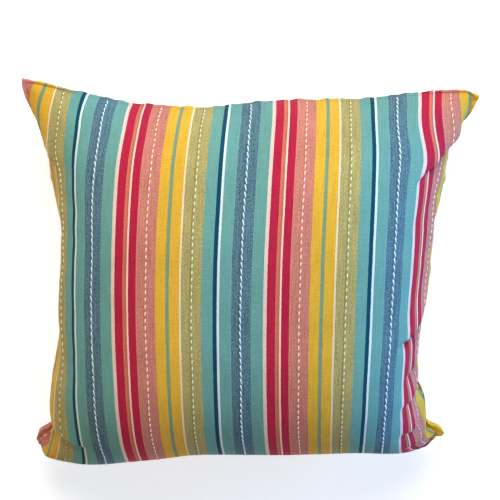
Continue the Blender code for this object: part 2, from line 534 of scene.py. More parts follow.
FACE_NUDGES = (
    Nudge("right ear tip", 1.00, 1.00, 0.055, 0.07, y=-9.0),
    Nudge("right ear flank", 1.00, 0.86, 0.08, 0.09, x=6.5),
    Nudge("right ear stripes", 0.93, 0.93, 0.10, 0.12, slip=3.0),
    Nudge("right ear root stripes", 0.84, 0.78, 0.10, 0.10, slip=1.5),
    Nudge("right ear fullness", 0.90, 0.82, 0.06, 0.11, x=5.0),
    Nudge("right ear tuck", 1.00, 0.72, 0.05, 0.08, x=-3.5, z=-8.0),
    Nudge("right ear root", 1.00, 0.64, 0.10, 0.09, x=-4.0),
    Nudge("left ear top", -0.91, 1.00, 0.09, 0.08, y=3.2),
    Nudge("left ear side", -1.00, 0.88, 0.07, 0.09, x=-6.0),
    Nudge("left ear tuck", -1.00, 0.74, 0.05, 0.10, x=4.0, z=-8.0),
    Nudge("left ear stripes", -0.86, 1.00, 0.15, 0.11, slip=-6.0),
    Nudge("left ear edge stripes", -0.98, 0.92, 0.09, 0.14, slip=2.0),
    Nudge("left ear root", -1.00, 0.58, 0.08, 0.08, x=2.0),
    Nudge("left ear root stripes", -0.95, 0.54, 0.08, 0.10, slip=-2.5),
    Nudge("left shoulder stripes", -0.72, 0.50, 0.07, 0.22, slip=0.7),
    Nudge("left hem stripes", -0.78, 0.97, 0.07, 0.06, slip=2.5),
    Nudge("left navy stripe", -0.72, 0.84, 0.08, 0.10, slip=2.0),
    Nudge("left olive stripe", -0.80, 0.62, 0.06, 0.10, slip=-1.8),
    Nudge("left flank", -0.93, -0.20, 0.15, 0.30, x=-4.0),
    Nudge("left lower flank", -0.93, -0.54, 0.10, 0.12, x=-4.0),
    Nudge("left flank seam", -1.00, -0.62, 0.06, 0.20, x=8.0),
    Nudge("left flank stripes", -1.00, -0.45, 0.08, 0.35, slip=4.0),
    Nudge("lower left fullness", -0.92, -1.00, 0.35, 0.45, x=-14.0),
    Nudge("lower left side seam", -1.00, -0.87, 0.06, 0.09, x=16.0, z=-6.0),
    Nudge("lower left bottom seam", -0.90, -1.00, 0.11, 0.06, x=2.0, y=9.0),
    Nudge("lower left bulge", -0.92, -0.87, 0.10, 0.08, x=-2.0, y=-8.0),
    Nudge("lower left bottom", -0.70, -0.85, 0.15, 0.15, y=2.0),
    Nudge("lower left nub", -1.00, -1.00, 0.05, 0.05, x=9.0, y=-2.0),
    Nudge("lower left nub stripes", -1.00, -1.00, 0.06, 0.08, slip=-8.0),
    Nudge("lower right fullness", 0.80, -0.95, 0.20, 0.30, x=7.0),
    Nudge("right flank", 0.80, -0.28, 0.15, 0.12, x=-2.0),
    Nudge("right lower flank", 0.82, -0.62, 0.12, 0.14, x=2.5),
    Nudge("right flank stripes 1", 0.91, -0.22, 0.06, 0.06, slip=4.0),
    Nudge("right flank stripes 2", 0.94, -0.45, 0.05, 0.15, slip=2.5),
    Nudge("right flank stripes 3", 0.87, -0.38, 0.07, 0.30, slip=2.0),
    Nudge("lower right nub stripes", 0.98, -1.00, 0.10, 0.10, slip=7.0),
    Nudge("lower right flank", 1.00, -0.72, 0.12, 0.08, x=3.0),
    Nudge("lower right side seam", 1.00, -0.88, 0.07, 0.07, x=-8.0, y=-9.0),
    Nudge("lower right bottom seam", 0.92, -1.00, 0.07, 0.10, x=-2.0, y=9.0),
    Nudge("lower right bottom", 0.65, -0.85, 0.20, 0.15, y=5.0),
    Nudge("lower right nub", 1.00, -1.00, 0.07, 0.07, x=-5.0, y=-3.0),
)


@dataclass
class Surface:
    """A panel's finished surface, which can be read at any place of its cloth."""

    places_across: Grid
    places_along: Grid
    points: Grid
    normals: Grid

    def read(self, across: Grid, along: Grid) -> tuple[Grid, Grid]:
        """Point and normal at places of the cloth, from the four grid points around.

        Args:
            across: Places across the cloth.
            along: Places along the cloth.

        Returns:
            Points and unit normals.
        """
        column = np.interp(across, self.places_across, np.arange(len(self.places_across)))
        row = np.interp(along, self.places_along, np.arange(len(self.places_along)))
        i = np.clip(column.astype(int), 0, len(self.places_across) - 2)
        j = np.clip(row.astype(int), 0, len(self.places_along) - 2)
        s = (column - i)[..., None]
        t = (row - j)[..., None]

        def blend(values: Grid) -> Grid:
            """Mix of the four corners of each place's cell."""
            low, high = (values[i, k] * (1 - s) + values[i + 1, k] * s for k in (j, j + 1))
            return low * (1 - t) + high * t

        return blend(self.points), unit(blend(self.normals))


class Band(NamedTuple):
    """One stripe of the repeat: width in millimetres, screen colour and heather."""

    name: str
    width: float
    red: int
    green: int
    blue: int
    heather: float


def linear(red: float, green: float, blue: float) -> tuple[float, float, float]:
    """Turn an eight-bit screen colour into linear light.

    Args:
        red: Red of the screen colour, from 0 to 255.
        green: Its green.
        blue: Its blue.

    Returns:
        Red, green and blue of the light, from 0 to 1.
    """
    value = np.array([red, green, blue]) / 255
    light = np.where(value <= 0.04045, value / 12.92, ((value + 0.055) / 1.055) ** 2.4)
    return tuple(float(part) for part in light)


class Wander(NamedTuple):
    """How far the stripes stray from straight on one row of cloth, in millimetres."""

    along: float
    left: float
    mid_left: float
    middle: float
    mid_right: float
    right: float


@dataclass(frozen=True)
class Stripes:
    """The woven repeat, with narrow strips of painted shade beside the stitch rows, and where the
    cloth was cut through it.
    """

    cut_middle: float = 0.2203
    first_navy: float = 0.0529
    left_spare: float = 0.0055
    left_spare_from: float = -0.80
    bands: tuple[Band, ...] = (
        Band("navy", 3.77, 8, 67, 92, 0.15),
        Band("cream by navy", 1.83, 205, 219, 217, 0.05),
        Band("teal", 10.5, 99, 152, 148, 0.12),
        Band("pale teal by denim", 0.7, 106, 157, 157, 0.12),
        Band("denim", 6.98, 80, 113, 127, 1.00),
        # painted shade: a darker strip of denim just left of the thread, for the thread's shadow on
        # the cloth
        Band("denim painted shade beside the thread", 1.0, 69, 98, 112, 0.60),
        Band("denim right of the thread", 10.39, 80, 113, 127, 1.00),
        Band("pale teal after denim", 0.7, 106, 157, 157, 0.12),
        Band("teal by cream", 10.5, 100, 151, 145, 0.15),
        Band("cream by teal", 1.7, 210, 197, 186, 0.05),
        Band("rosy cream", 1.6, 226, 190, 178, 0.05),
        Band("red edge 1", 0.7, 150, 24, 50, 0.10),
        Band("red", 6.37, 175, 31, 63, 0.25),
        Band("red edge 2", 0.7, 160, 30, 52, 0.10),
        Band("orange", 2.1, 201, 108, 90, 0.15),
        Band("brown", 1.8, 180, 104, 75, 0.10),
        Band("white", 1.57, 240, 199, 188, 0.05),
        Band("red edge 3", 0.7, 150, 24, 50, 0.10),
        Band("second red", 6.21, 174, 31, 62, 0.25),
        Band("red edge 4", 0.7, 160, 30, 52, 0.10),
        Band("salmon by red", 0.9, 205, 124, 117, 0.10),
        Band("salmon", 6.43, 190, 121, 107, 0.45),
        # painted shade: a darker strip of salmon just left of the stitches, for their shadow on the
        # cloth
        Band("salmon painted shade beside the stitches", 0.9, 176, 108, 92, 0.30),
        Band("salmon right of the stitches", 10.04, 190, 120, 106, 0.45),
        Band("yellow", 9.06, 211, 166, 53, 0.12),
        Band("green line", 3.44, 117, 146, 116, 0.15),
        Band("second yellow", 9.63, 211, 166, 53, 0.12),
        Band("cream by yellow", 1.4, 226, 204, 174, 0.05),
        Band("olive", 7.69, 163, 153, 97, 0.50),
        # painted shade: a darker strip of olive just left of the stitches, for the shade of the row's
        # groove
        Band("olive painted shade beside the stitches", 1.3, 141, 135, 90, 0.30),
        Band("olive right of the stitches", 10.19, 163, 153, 97, 0.50),
        Band("teal by navy", 10.71, 101, 153, 147, 0.12),
    )
    columns: tuple[float, ...] = (-0.85, -0.50, 0.00, 0.50, 0.85)
    strays: tuple[Wander, ...] = (
        Wander(-1.00, -2.5, -2.0, 1.0, 1.0, -2.0),
        Wander(-0.60, -2.5, -2.5, 0.6, 0.4, -2.0),
        Wander(-0.30, -0.5, -1.0, 1.3, 2.0, 2.0),
        Wander(0.00, 1.3, 0.4, 1.5, 1.0, 1.5),
        Wander(0.25, 1.2, 1.0, 1.2, 0.7, 1.0),
        Wander(0.50, 2.0, 0.8, 0.0, 0.0, 0.3),
        Wander(0.75, 2.0, 0.7, 0.0, 0.0, 0.0),
        Wander(0.90, 2.0, 0.0, 0.7, 2.0, -0.5),
        Wander(1.00, -1.0, -2.0, 2.5, 4.5, 1.5),
    )
    typical_stray: float = 0.0009
    turning_steps: int = 4
    nudges: Nudges = Nudges(FACE_NUDGES)

    @property
    def repeat(self) -> float:
        """Width of one whole repeat in metres."""
        return sum(band.width for band in self.bands) / MM

    def starts(self) -> Grid:
        """Where each band starts, as shares of the repeat."""
        widths = np.array([band.width for band in self.bands])
        return (np.cumsum(widths) - widths) / widths.sum()

    def stray(self, across: Grid, along: Grid) -> Grid:
        """How far the stripes stray: a curve up each column, joined straight across.

        Args:
            across: Places across the cloth.
            along: Places along the cloth.

        Returns:
            Metres of stripes.
        """
        total = -self.typical_stray
        for number, name in enumerate(Wander._fields[1:]):
            share = np.interp(across, self.columns, np.eye(len(self.columns))[number])
            total = total + share * read_table(self.strays, name, along) / MM
        return total

    def place(self, across: Grid, along: Grid, half: float) -> Grid:
        """Read the stripes at places of the cloth.

        They run evenly across, less a little spare at the left seam, and then come
        how far they stray and slip.

        Args:
            across: Places across the cloth.
            along: Places along the cloth.
            half: Half the side of the panel.

        Returns:
            Metres of stripes, which grow to the right.
        """
        spare = smooth_step((self.left_spare_from - across) / (1 + self.left_spare_from))
        straight = self.cut_middle + across * half - self.left_spare * spare
        return straight + self.stray(across, along) + self.nudges.slip(across, along)

    def across_of(self, place: float, along: Grid, half: float) -> Grid:
        """Find where a line of the stripes lies across, stepping nearer by what is left.

        Args:
            place: Metres of stripes at the line.
            along: Places along the cloth.
            half: Half the side of the panel.

        Returns:
            Places across the cloth.
        """
        across = np.full_like(along, (place - self.cut_middle) / half)
        for _ in range(self.turning_steps):
            across = across + (place - self.place(across, along, half)) / half
        return across

    def lines(self, name: str, beyond: float, half: float) -> Grid:
        """Metres of stripes at a line beyond each start of a named band.

        Args:
            name: The band's name.
            beyond: How far the line lies to the right of the band's start.
            half: Half the side of the panel.

        Returns:
            The places in the stripes, from left to right, of those on the panel.
        """
        index = [band.name for band in self.bands].index(name)
        start = self.starts()[index] * self.repeat + beyond
        repeats = np.arange(-1, 3)
        found = self.first_navy + start + self.repeat * repeats
        return found[np.abs(found - self.cut_middle) < half + self.left_spare]


def new_mesh(name: str, points: Grid, faces: Grid, ends: Grid | None = None) -> bpy.types.Object:
    """Put points and faces into a new object in the scene.

    Args:
        name: The piece's name.
        points: One point a row.
        faces: Four-sided faces, as rows of point numbers.
        ends: Faces with another count of sides, also as rows.

    Returns:
        The new object, smooth shaded.
    """
    every = faces.tolist() + ([] if ends is None else ends.tolist())
    mesh = bpy.data.meshes.new(name)
    mesh.from_pydata(points.tolist(), [], every)
    mesh.update()
    mesh.shade_smooth()
    piece = bpy.data.objects.new(name, mesh)
    bpy.context.scene.collection.objects.link(piece)
    return piece


Socket = bpy.types.NodeSocket


@dataclass
class Shader:
    """A material under construction, with short ways to add its nodes."""

    name: str
    material: bpy.types.Material = field(init=False)
    nodes: bpy.types.Nodes = field(init=False)
    surface: bpy.types.Node = field(init=False)

    def __post_init__(self) -> None:
        """Start the material with a Principled BSDF."""
        self.material = bpy.data.materials.new(self.name)
        self.material.use_nodes = True
        self.nodes = self.material.node_tree.nodes
        self.surface = self.nodes["Principled BSDF"]

    def put(self, socket: Socket, value: Socket | float | tuple) -> None:
        """Link another node's socket, or set a plain value.

        Args:
            socket: The input to feed.
            value: An output to link to it, or the value to set.
        """
        if isinstance(value, bpy.types.NodeSocket):
            self.material.node_tree.links.new(value, socket)
        else:
            socket.default_value = value

    def math(self, operation: str, first: Socket | float, second: Socket | float = 0.0) -> Socket:
        """Add a Math node.

        Args:
            operation: The node's operation.
            first: Its first value.
            second: Its second value.

        Returns:
            The result.
        """
        node = self.nodes.new("ShaderNodeMath")
        node.operation = operation
        self.put(node.inputs[0], first)
        self.put(node.inputs[1], second)
        return node.outputs[0]

    def add_scaled(self, start: Socket | float, share: Socket, size: Socket | float) -> Socket:
        """Add one amount to another.

        Args:
            start: What is there before.
            share: How much of the size to add.
            size: The whole amount.

        Returns:
            Start plus share times size.
        """
        total = self.math("MULTIPLY_ADD", share, size)
        self.put(total.node.inputs[2], start)
        return total

    def scaled(self, vector: Socket, x: float, y: float, z: float = 1.0) -> Socket:
        """Stretch a vector along its axes.

        Args:
            vector: The vector.
            x: Factor on its first axis.
            y: Factor on its second axis.
            z: Factor on its third axis.

        Returns:
            The stretched vector.
        """
        node = self.nodes.new("ShaderNodeVectorMath")
        node.operation = "MULTIPLY"
        self.put(node.inputs[0], vector)
        node.inputs[1].default_value = (x, y, z)
        return node.outputs[0]

    def noise(self, vector: Socket, detail: float = 1.0) -> Socket:
        """Add noise about zero, with one bump to each unit of the vector.

        Args:
            vector: The place to read the noise at.
            detail: How many finer layers are added.

        Returns:
            The noise, from about -0.5 to 0.5.
        """
        node = self.nodes.new("ShaderNodeTexNoise")
        node.inputs["Scale"].default_value = 1.0
        node.inputs["Detail"].default_value = detail
        self.put(node.inputs["Vector"], vector)
        return self.math("SUBTRACT", node.outputs["Fac"], 0.5)

    def cloth_map(self, name: str) -> Socket:
        """Read one of the piece's own maps.

        Args:
            name: The map's name.

        Returns:
            The place on the map.
        """
        node = self.nodes.new("ShaderNodeUVMap")
        node.uv_map = name
        return node.outputs["UV"]

    def object_place(self) -> Socket:
        """The place on the piece in metres."""
        return self.nodes.new("ShaderNodeTexCoord").outputs["Object"]

    def parts(self, vector: Socket) -> tuple[Socket, Socket]:
        """Take a vector apart.

        Args:
            vector: The vector.

        Returns:
            Its first and second axis.
        """
        node = self.nodes.new("ShaderNodeSeparateXYZ")
        self.put(node.inputs[0], vector)
        return node.outputs[0], node.outputs[1]

    def bump(self, height: Socket, distance: float, strength: float = 1.0) -> None:
        """Raise the surface by a height field.

        Args:
            height: The height field.
            distance: Metres to each unit of it.
            strength: Share of the effect.
        """
        node = self.nodes.new("ShaderNodeBump")
        node.inputs["Distance"].default_value = distance
        node.inputs["Strength"].default_value = strength
        self.put(node.inputs["Height"], height)
        self.put(self.surface.inputs["Normal"], node.outputs["Normal"])

    def tint(self, colour: Socket | tuple, factor: Socket) -> Socket:
        """Multiply a colour by a number.

        Args:
            colour: The colour.
            factor: The number.

        Returns:
            The lighter or darker colour.
        """
        node = self.nodes.new("ShaderNodeVectorMath")
        node.operation = "SCALE"
        self.put(node.inputs[0], colour if isinstance(colour, bpy.types.NodeSocket) else colour[:3])
        self.put(node.inputs["Scale"], factor)
        return node.outputs[0]


@dataclass(frozen=True)
class StripedCotton:
    """Plain-woven cotton, dyed in stripes, with heather in its wider bands, and narrow strips of
    painted shade beside the stitch rows.

    Light and dark come as specks of single threads, as slubs along the weft and
    as streaks along the warp, and more so in the heathered bands. The weave's
    height is a product of two sines, one to each thread.
    """

    stripes: Stripes
    thread_pitch: float = 0.00075
    speck_width: float = 0.0011
    speck_length: float = 0.0019
    slub_width: float = 0.0011
    slub_length: float = 0.012
    streak_length: float = 0.030
    plain_speck: float = 0.15
    heather_speck: float = 2.60
    plain_streak: float = 0.25
    heather_streak: float = 0.90
    slub: float = 0.25
    mottle: float = 0.25
    mottles_per_metre: float = 22.0
    edge_wobble: float = 0.0006
    wobbles_per_metre: float = 40.0
    roughness: float = 0.88
    gloss: float = 0.10
    sheen: float = 0.04
    sheen_spread: float = 0.5
    weave_height: float = 0.00012
    weave_strength: float = 0.6

    def make(self) -> bpy.types.Material:
        """Build the material.

        Returns:
            The material, which reads the map named cloth.
        """
        shader = Shader("striped_cotton")
        cloth = shader.cloth_map("cloth")
        across, along = shader.parts(cloth)
        wobble = shader.noise(shader.scaled(cloth, self.wobbles_per_metre, 1 / self.speck_length))
        moved = shader.add_scaled(across, wobble, self.edge_wobble)
        repeats = shader.math("DIVIDE", shader.math("SUBTRACT", moved, self.stripes.first_navy),
                              self.stripes.repeat)
        ramp = self.band_ramp(shader, shader.math("FRACT", repeats))
        heather = ramp.outputs["Alpha"]

        speck = shader.noise(shader.scaled(cloth, 1 / self.speck_width, 1 / self.speck_length), 2.0)
        slub = shader.noise(shader.scaled(cloth, 1 / self.slub_length, 1 / self.slub_width))
        streak = shader.noise(shader.scaled(cloth, 1 / self.speck_width, 1 / self.streak_length))
        spots = [self.mottles_per_metre] * 3
        mottle = shader.noise(shader.scaled(shader.object_place(), *spots), 2.0)
        speck_size = shader.add_scaled(self.plain_speck, heather, self.heather_speck)
        streak_size = shader.add_scaled(self.plain_streak, heather, self.heather_streak)
        light = 1.0
        parts = ((speck, speck_size), (streak, streak_size), (slub, self.slub), (mottle, self.mottle))
        for share, size in parts:
            light = shader.add_scaled(light, share, size)
        shader.put(shader.surface.inputs["Base Color"], shader.tint(ramp.outputs["Color"], light))

        turn = 2 * np.pi / self.thread_pitch
        warp = shader.math("SINE", shader.math("MULTIPLY", across, turn))
        weft = shader.math("SINE", shader.math("MULTIPLY", along, turn))
        height = shader.math("ADD", shader.math("MULTIPLY", warp, weft), slub)
        shader.bump(height, self.weave_height, self.weave_strength)
        shader.surface.inputs["Roughness"].default_value = self.roughness
        shader.surface.inputs["Specular IOR Level"].default_value = self.gloss
        shader.surface.inputs["Sheen Weight"].default_value = self.sheen
        shader.surface.inputs["Sheen Roughness"].default_value = self.sheen_spread
        return shader.material

    def band_ramp(self, shader: Shader, place: Socket) -> bpy.types.Node:
        """Ramp with a hard step at each band; its alpha says how heathered the band is.

        Args:
            shader: The material to build in.
            place: The place in the repeat, from 0 to 1.

        Returns:
            The ramp node.
        """
        ramp = shader.nodes.new("ShaderNodeValToRGB")
        ramp.color_ramp.interpolation = "CONSTANT"
        stops = ramp.color_ramp.elements
        starts = self.stripes.starts()
        while len(stops) < len(starts):
            stops.new(1.0)
        for stop, start, band in zip(stops, starts, self.stripes.bands):
            stop.position = start
            stop.color = (*linear(band.red, band.green, band.blue), band.heather)
        shader.put(ramp.inputs["Fac"], place)
        return ramp


@dataclass(frozen=True)
class Thread:
    """Twisted cotton thread in one colour, its twist running round it, with painted shade in the
    twist's grooves.
    """

    name: str
    colour: tuple[int, int, int]
    twist: float = 0.0011
    twist_light: float = 0.94
    twist_shade: float = 0.06
    twist_height: float = 0.00008
    twist_strength: float = 0.5
    roughness: float = 0.75
    gloss: float = 0.3
    sheen: float = 0.15

    def make(self) -> bpy.types.Material:
        """Build the material.

        Returns:
            The material, which reads the map named thread.
        """
        shader = Shader(self.name)
        around, length = shader.parts(shader.cloth_map("thread"))
        turns = shader.add_scaled(around, length, 1 / self.twist)
        ply = shader.math("SINE", shader.math("MULTIPLY", turns, 2 * np.pi))
        # painted shade: the base colour is darker in the twist's grooves, in step with the bump
        dark = shader.add_scaled(self.twist_light, ply, self.twist_shade)
        shader.put(shader.surface.inputs["Base Color"], shader.tint(linear(*self.colour), dark))
        shader.bump(ply, self.twist_height, self.twist_strength)
        shader.surface.inputs["Roughness"].default_value = self.roughness
        shader.surface.inputs["Specular IOR Level"].default_value = self.gloss
        shader.surface.inputs["Sheen Weight"].default_value = self.sheen
        return shader.material


@dataclass(frozen=True)
class PaleFloor:
    """Matt pale light table with a trace of unevenness, lit a little from below."""

    shade: float = 0.74
    unevenness: float = 0.02
    clouds_per_metre: float = 6.0
    glow: float = 0.58
    roughness: float = 0.9

    def make(self) -> bpy.types.Material:
        """Build the material.

        Returns:
            The material, which reads the place on the floor.
        """
        shader = Shader("pale_floor")
        clouds = [self.clouds_per_metre] * 3
        faint = shader.noise(shader.scaled(shader.object_place(), *clouds), 2.0)
        light = shader.add_scaled(self.shade, faint, self.unevenness)
        shader.put(shader.surface.inputs["Base Color"], shader.tint((1.0, 1.0, 1.0), light))
        shader.surface.inputs["Roughness"].default_value = self.roughness
        shader.surface.inputs["Specular IOR Level"].default_value = 0.0
        shader.surface.inputs["Emission Color"].default_value = (1.0, 1.0, 1.0, 1.0)
        shader.surface.inputs["Emission Strength"].default_value = self.glow
        return shader.material


@dataclass
class SewnGrid:
    """Face and back as one closed grid of points, joined along the rim."""

    steps: int
    crowding: float = 0.45

    def __post_init__(self) -> None:
        """Place and number the points: all of the face, then the back's without its rim.

        Even places are mixed with their sine, which crowds them towards the rim.
        """
        even = np.linspace(-1, 1, self.steps + 1)
        self.places = (1 - self.crowding) * even + self.crowding * np.sin(even * np.pi / 2)
        self.across, self.along = np.meshgrid(self.places, self.places, indexing="ij")
        self.rim = (np.abs(self.across) == 1) | (np.abs(self.along) == 1)
        self.face_index = np.arange(self.rim.size).reshape(self.rim.shape)
        self.back_index = self.face_index.copy()
        self.back_index[~self.rim] = self.rim.size + np.arange((~self.rim).sum())

    def join(self, face: Grid, back: Grid) -> Grid:
        """One row for each point, from values on both panels."""
        columns = face[0, 0].size
        return np.concatenate([face.reshape(-1, columns), back[~self.rim].reshape(-1, columns)])

    def split(self, values: Grid) -> tuple[Grid, Grid]:
        """Values on the face's grid and on the back's, from one row for each point."""
        return values[self.face_index], values[self.back_index]

    def cells(self, index: Grid) -> Grid:
        """The four numbers round each cell of a panel, one cell a row."""
        corners = [index[:-1, :-1], index[1:, :-1], index[1:, 1:], index[:-1, 1:]]
        return np.stack(corners, axis=-1).reshape(-1, 4)

    def faces(self) -> Grid:
        """All faces, the back's turned to point outwards."""
        return np.concatenate([self.cells(self.face_index), self.cells(self.back_index)[:, ::-1]])

    def corners(self) -> Grid:
        """Where on a panel's flat grid each corner of each face lies."""
        cells = self.cells(self.face_index)
        return np.concatenate([cells, cells[:, ::-1]]).ravel()


def refine(values: Grid, steps: int) -> Grid:
    """Read a grid more finely: at each place a cubic B-spline weighs the four nearest.

    Args:
        values: Vectors on a square grid.
        steps: Cells along a side of the finer grid.

    Returns:
        Vectors on the finer grid.
    """
    count = len(values)
    position = np.linspace(0, count - 1, steps + 1)
    first = np.clip(position.astype(int), 0, count - 2)
    t = position - first
    before = 3 * t**3 - 6 * t**2 + 4
    after = -3 * t**3 + 3 * t**2 + 3 * t + 1
    weights = np.stack([(1 - t) ** 3, before, after, t**3]) / 6
    nearest = np.clip(first[:, None] + np.arange(-1, 3), 0, count - 1)
    matrix = np.zeros((steps + 1, count))
    np.add.at(matrix, (np.arange(steps + 1)[:, None], nearest), weights.T)
    return np.einsum("ai,bj,ijk->abk", matrix, matrix, values)


@dataclass
class Filling:
    """Pressure of the filling from inside, by Blender's cloth simulation.

    The cloth starts on the plain form and is a little too long near the seams, so
    it wrinkles there. Only the wrinkles are kept. The slow swelling, which is the
    movement blurred over the cloth by a bell of swelling_width, is taken off.

    The spare length grows as a power of the way to each seam, side_power to the
    side seams and end_power to the other two, which count end_share. hold is how
    firmly the cloth is held in the middle, and rim_ease the share let go at the rim.
    """

    steps: int = 100
    frames: int = 20
    pressure: float = 4.0
    spare: float = 0.06
    side_power: int = 4
    end_power: int = 6
    end_share: float = 0.5
    hold: float = 0.10
    rim_ease: float = 0.7
    ease_power: int = 4
    weight_levels: int = 50
    stiffness: float = 15.0
    shear: float = 5.0
    bending: float = 0.5
    quality: int = 5
    swelling_width: float = 0.028
    cap: float = 0.008

    def wrinkles(self, form: CoverForm) -> tuple[Grid, Grid]:
        """Movement of both panels on a coarse grid.

        Args:
            form: The plain form to start from.

        Returns:
            Vectors on the face's grid and on the back's, in metres.
        """
        grid = SewnGrid(self.steps)
        face = form.face_points(grid.across, grid.along)
        start = grid.join(face, form.back_points(face))
        piece = new_mesh("filling", start, grid.faces())
        across = np.abs(grid.across)
        along = np.abs(grid.along)
        seam = across**self.side_power + self.end_share * along**self.end_power
        self.group(piece, "snug", grid, 1 - np.clip(seam, 0, 1))
        ease = self.rim_ease * np.maximum(across, along) ** self.ease_power
        self.group(piece, "held", grid, self.hold * (1 - ease))
        self.simulate(piece)
        moved = piece.evaluated_get(bpy.context.evaluated_depsgraph_get()).data
        after = np.empty(start.size, np.float32)
        moved.vertices.foreach_get("co", after)
        bpy.data.objects.remove(piece)
        face_move, back_move = grid.split(after.reshape(-1, 3) - start)
        return self.sharp_part(face_move, grid, form), self.sharp_part(back_move, grid, form)

    def group(self, piece: bpy.types.Object, name: str, grid: SewnGrid, weight: Grid) -> None:
        """Give the piece a vertex group, its weights rounded to a few levels.

        Args:
            piece: The coarse cover.
            name: The group's name.
            grid: The grid it was made on.
            weight: Weights from 0 to 1 on a panel's grid, the same for both panels.
        """
        group = piece.vertex_groups.new(name=name)
        levels = np.round(grid.join(weight, weight)[:, 0] * self.weight_levels).astype(int)
        for level in np.unique(levels):
            points = np.nonzero(levels == level)[0].tolist()
            group.add(points, level / self.weight_levels, "REPLACE")

    def simulate(self, piece: bpy.types.Object) -> None:
        """Give the piece its cloth settings and step through the frames.

        Args:
            piece: The coarse cover.
        """
        cloth = piece.modifiers.new("cloth", "CLOTH")
        settings = cloth.settings
        settings.quality = self.quality
        settings.tension_stiffness = self.stiffness
        settings.compression_stiffness = self.stiffness
        settings.shear_stiffness = self.shear
        settings.bending_stiffness = self.bending
        settings.use_pressure = True
        settings.uniform_pressure_force = self.pressure
        settings.effector_weights.gravity = 0
        settings.vertex_group_shrink = "snug"
        settings.shrink_min = -self.spare
        settings.shrink_max = 0.0
        settings.vertex_group_mass = "held"
        cloth.collision_settings.use_collision = False
        cloth.point_cache.frame_start = 1
        cloth.point_cache.frame_end = self.frames
        for number in range(1, self.frames + 1):
            bpy.context.scene.frame_set(number)

    def sharp_part(self, move: Grid, grid: SewnGrid, form: CoverForm) -> Grid:
        """Take the slow swelling off a movement, and lead its length softly to the cap.

        Args:
            move: Vectors on a panel's grid.
            grid: The grid.
            form: The plain form.

        Returns:
            The movement less its blur, as vectors on the same grid.
        """
        apart = (grid.places[:, None] - grid.places[None, :]) * form.half
        bell = np.exp(-(apart**2) / (2 * self.swelling_width**2)) * np.gradient(grid.places)
        bell /= bell.sum(axis=1, keepdims=True)
        sharp = move - np.einsum("ai,bj,ijk->abk", bell, bell, move)
        length = np.linalg.norm(sharp, axis=-1, keepdims=True)
        return sharp / (1 + length / self.cap)


@dataclass
class Seam:
    """How the sewn rim draws in and puckers the cloth beside it."""

    groove_depth: float = 0.0012
    groove_width: float = 0.0035
    pucker: float = 0.00035
    pucker_reach: float = 0.010
    spacings: tuple[float, ...] = (0.0131, 0.0212, 0.0349)
    wave_turn: float = 900.0
    hem_depth: float = 0.0046
    hem_groove: float = 0.0005
    hem_groove_width: float = 0.0012

    def height(self, across: Grid, along: Grid, half: float, phase: float) -> Grid:
        """Height over the plain cloth near the seams.

        A bell-shaped groove follows the two side seams and the bottom one. Sine
        waves of three spacings run along every seam and die out away from it, each
        turned by wave_turn times its spacing so that they don't start together.
        The hem's stitches press a narrow groove beside the top edge.

        Args:
            across: Places across the cloth.
            along: Places along the cloth.
            half: Half the side of the panel.
            phase: Where the waves start, which differs between the panels.

        Returns:
            Heights in metres.
        """
        side = (1 - np.abs(across)) * half
        bottom = (1 + along) * half
        top = (1 - along) * half
        groove = np.exp(-((side / self.groove_width) ** 2))
        groove = groove + np.exp(-((bottom / self.groove_width) ** 2))
        height = -self.groove_depth * np.minimum(groove, 1)
        for away, run in ((side, along * half), (np.minimum(bottom, top), across * half)):
            fading = self.pucker * np.exp(-away / self.pucker_reach)
            for spacing in self.spacings:
                turn = phase + self.wave_turn * spacing
                height = height + fading * np.sin(2 * np.pi * run / spacing + turn)
        hem = np.exp(-(((top - self.hem_depth) / self.hem_groove_width) ** 2))
        return height - self.hem_groove * hem


